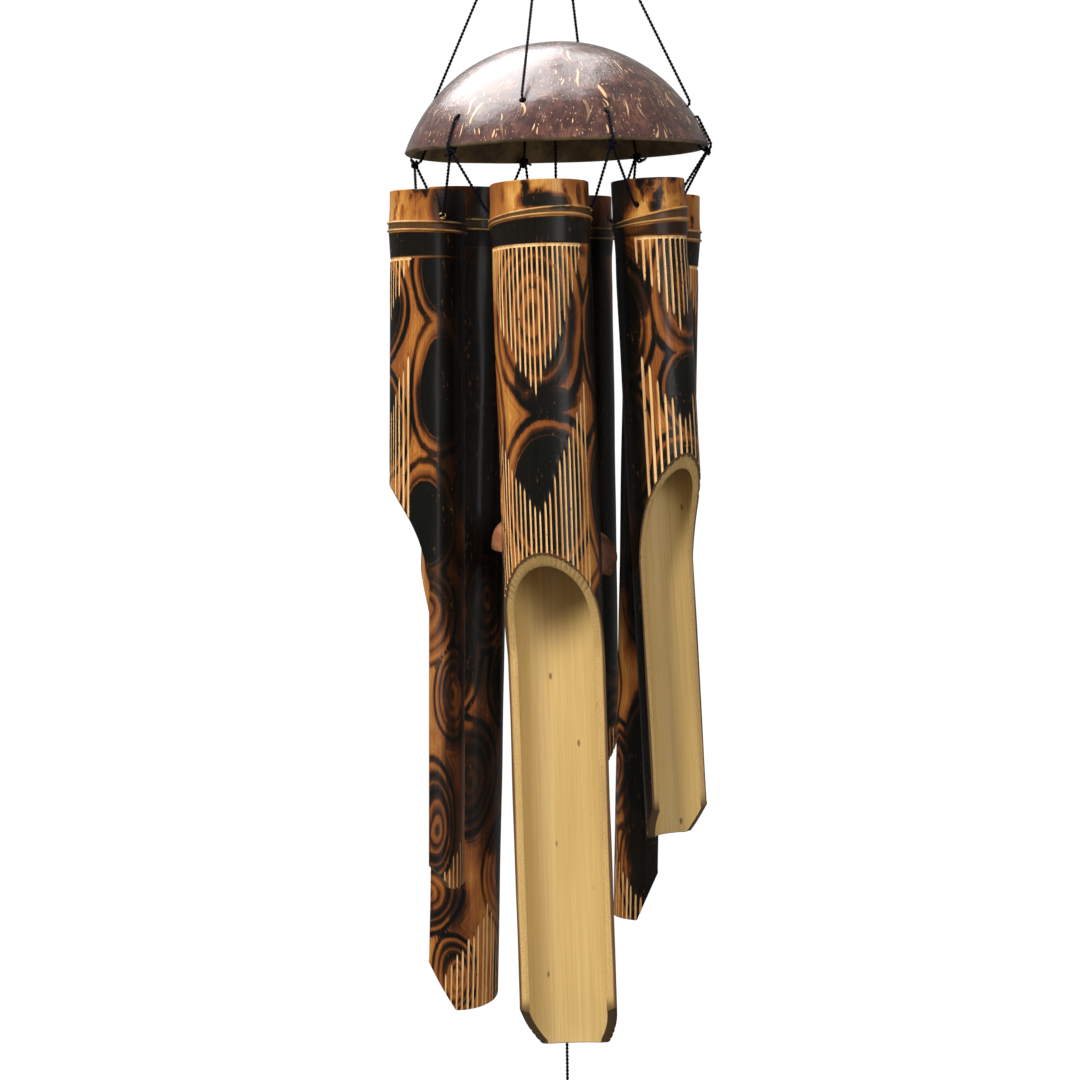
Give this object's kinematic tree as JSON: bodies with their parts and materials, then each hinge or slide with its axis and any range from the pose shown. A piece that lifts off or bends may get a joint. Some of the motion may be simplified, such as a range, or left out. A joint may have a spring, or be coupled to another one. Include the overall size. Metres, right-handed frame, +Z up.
{
  "type": "wind chime",
  "caption": "Hanging bamboo wind chime: notched tubes on waxed cords under half a coconut shell, round a clapper on a centre cord with a wind catcher.",
  "frame": {"origin": "the inside of the hanging ring's top, where the hook that carries the chime bears", "axes": "+Z up along the hanging cords, -Y the front, +X to the right as seen from the front"},
  "size_m": [0.1336, 0.1497, 0.6265],
  "materials": {
    "steel": "plain steel wire ring",
    "waxed_cord": "black waxed twisted cord",
    "coconut_shell": "polished dark purplish brown shell with tan fibre flecks, dull tan inside",
    "burnt_bamboo": "varnished bamboo, burnt in dark ringed patches and carved with fine upright flutes, bare and pale inside",
    "clapper_wood": "bare reddish brown wood, a little rough"
  },
  "bodies": {
    "hanger": {"hanging_ring": "steel"},
    "canopy": {"hanging_loop": "waxed_cord", "suspension_cord_front": "waxed_cord", "suspension_cord_right": "waxed_cord", "suspension_cord_back": "waxed_cord", "suspension_cord_left": "waxed_cord", "coconut_dome": "coconut_shell", "rim_tie_front_left": "waxed_cord", "rim_tie_front_right": "waxed_cord", "rim_tie_right": "waxed_cord", "rim_tie_back_right": "waxed_cord", "rim_tie_back": "waxed_cord", "rim_tie_left": "waxed_cord"},
    "clapper_knot": {"centre_knot": "waxed_cord"},
    "clapper": {"clapper_cord": "waxed_cord", "clapper": "clapper_wood"},
    "catcher": {"catcher_cord": "waxed_cord", "catcher_loop": "waxed_cord", "wind_catcher": "clapper_wood"},
    "cord_front": {"tube_cord_front": "waxed_cord"},
    "tube_front": {"tube_front": "burnt_bamboo"},
    "cord_front_right": {"tube_cord_front_right": "waxed_cord"},
    "tube_front_right": {"tube_front_right": "burnt_bamboo"},
    "cord_back_right": {"tube_cord_back_right": "waxed_cord"},
    "tube_back_right": {"tube_back_right": "burnt_bamboo"},
    "cord_back": {"tube_cord_back": "waxed_cord"},
    "tube_back": {"tube_back": "burnt_bamboo"},
    "cord_back_left": {"tube_cord_back_left": "waxed_cord"},
    "tube_back_left": {"tube_back_left": "burnt_bamboo"},
    "cord_front_left": {"tube_cord_front_left": "waxed_cord"},
    "tube_front_left": {"tube_front_left": "burnt_bamboo"}
  },
  "joints": [
    {"name": "canopy_swing", "type": "hinge", "parent": "hanger", "child": "canopy", "pos_m": [0, 0, -0.0205], "axis": [1, 0, 0], "range_deg": [-20, 20]},
    {"name": "tie_swing_front", "type": "hinge", "parent": "canopy", "child": "cord_front", "pos_m": [-0.00668, -0.05042, -0.17334], "axis": [0.9903, -0.1392, 0], "range_deg": [-12, 2]},
    {"name": "tube_swing_front", "type": "hinge", "parent": "cord_front", "child": "tube_front", "pos_m": [-0.00668, -0.05042, -0.19469], "axis": [0.99, -0.1383, 0.0262], "range_deg": [-9, 2]},
    {"name": "tie_swing_front_right", "type": "hinge", "parent": "canopy", "child": "cord_front_right", "pos_m": [0.03884, -0.02598, -0.17252], "axis": [0.4695, 0.8829, 0], "range_deg": [-12, 2]},
    {"name": "tube_swing_front_right", "type": "hinge", "parent": "cord_front_right", "child": "tube_front_right", "pos_m": [0.03884, -0.02598, -0.19221], "axis": [0.4695, 0.8829, 0], "range_deg": [-9, 2]},
    {"name": "tie_swing_back_right", "type": "hinge", "parent": "canopy", "child": "cord_back_right", "pos_m": [0.03921, 0.02395, -0.17118], "axis": [0.5299, -0.848, 0], "range_deg": [-1.2, 12]},
    {"name": "tube_swing_back_right", "type": "hinge", "parent": "cord_back_right", "child": "tube_back_right", "pos_m": [0.03921, 0.02395, -0.19484], "axis": [0.5295, -0.8482, -0.0148], "range_deg": [-1.2, 9]},
    {"name": "tie_swing_back", "type": "hinge", "parent": "canopy", "child": "cord_back", "pos_m": [0.00728, 0.05542, -0.17052], "axis": [0.9903, -0.1392, 0], "range_deg": [-2, 12]},
    {"name": "tube_swing_back", "type": "hinge", "parent": "cord_back", "child": "tube_back", "pos_m": [0.00728, 0.05542, -0.19322], "axis": [0.9903, -0.1392, 0], "range_deg": [-2, 9]},
    {"name": "tie_swing_back_left", "type": "hinge", "parent": "canopy", "child": "cord_back_left", "pos_m": [-0.03613, 0.04149, -0.1725], "axis": [0.6691, 0.7431, 0], "range_deg": [-2, 12]},
    {"name": "tube_swing_back_left", "type": "hinge", "parent": "cord_back_left", "child": "tube_back_left", "pos_m": [-0.03613, 0.04149, -0.18998], "axis": [0.6688, 0.7433, -0.0113], "range_deg": [-2, 9]},
    {"name": "tie_swing_front_left", "type": "hinge", "parent": "canopy", "child": "cord_front_left", "pos_m": [-0.05132, -0.01574, -0.17397], "axis": [0.342, -0.9397, 0], "range_deg": [-12, 2]},
    {"name": "tube_swing_front_left", "type": "hinge", "parent": "cord_front_left", "child": "tube_front_left", "pos_m": [-0.05132, -0.01574, -0.19502], "axis": [0.3421, -0.9396, 0.0087], "range_deg": [-9, 2]},
    {"name": "clapper_swing_back", "type": "hinge", "parent": "canopy", "child": "clapper_knot", "pos_m": [0, 0, -0.1545], "axis": [1, 0, 0], "range_deg": [-2.5, 4]},
    {"name": "clapper_swing_across", "type": "hinge", "parent": "clapper_knot", "child": "clapper", "pos_m": [0, 0, -0.1545], "axis": [0, 1, 0], "range_deg": [-2, 2]},
    {"name": "catcher_swing", "type": "hinge", "parent": "clapper", "child": "catcher", "pos_m": [0, 0, -0.3442], "axis": [1, 0, 0], "range_deg": [-8, 8]}
  ]
}
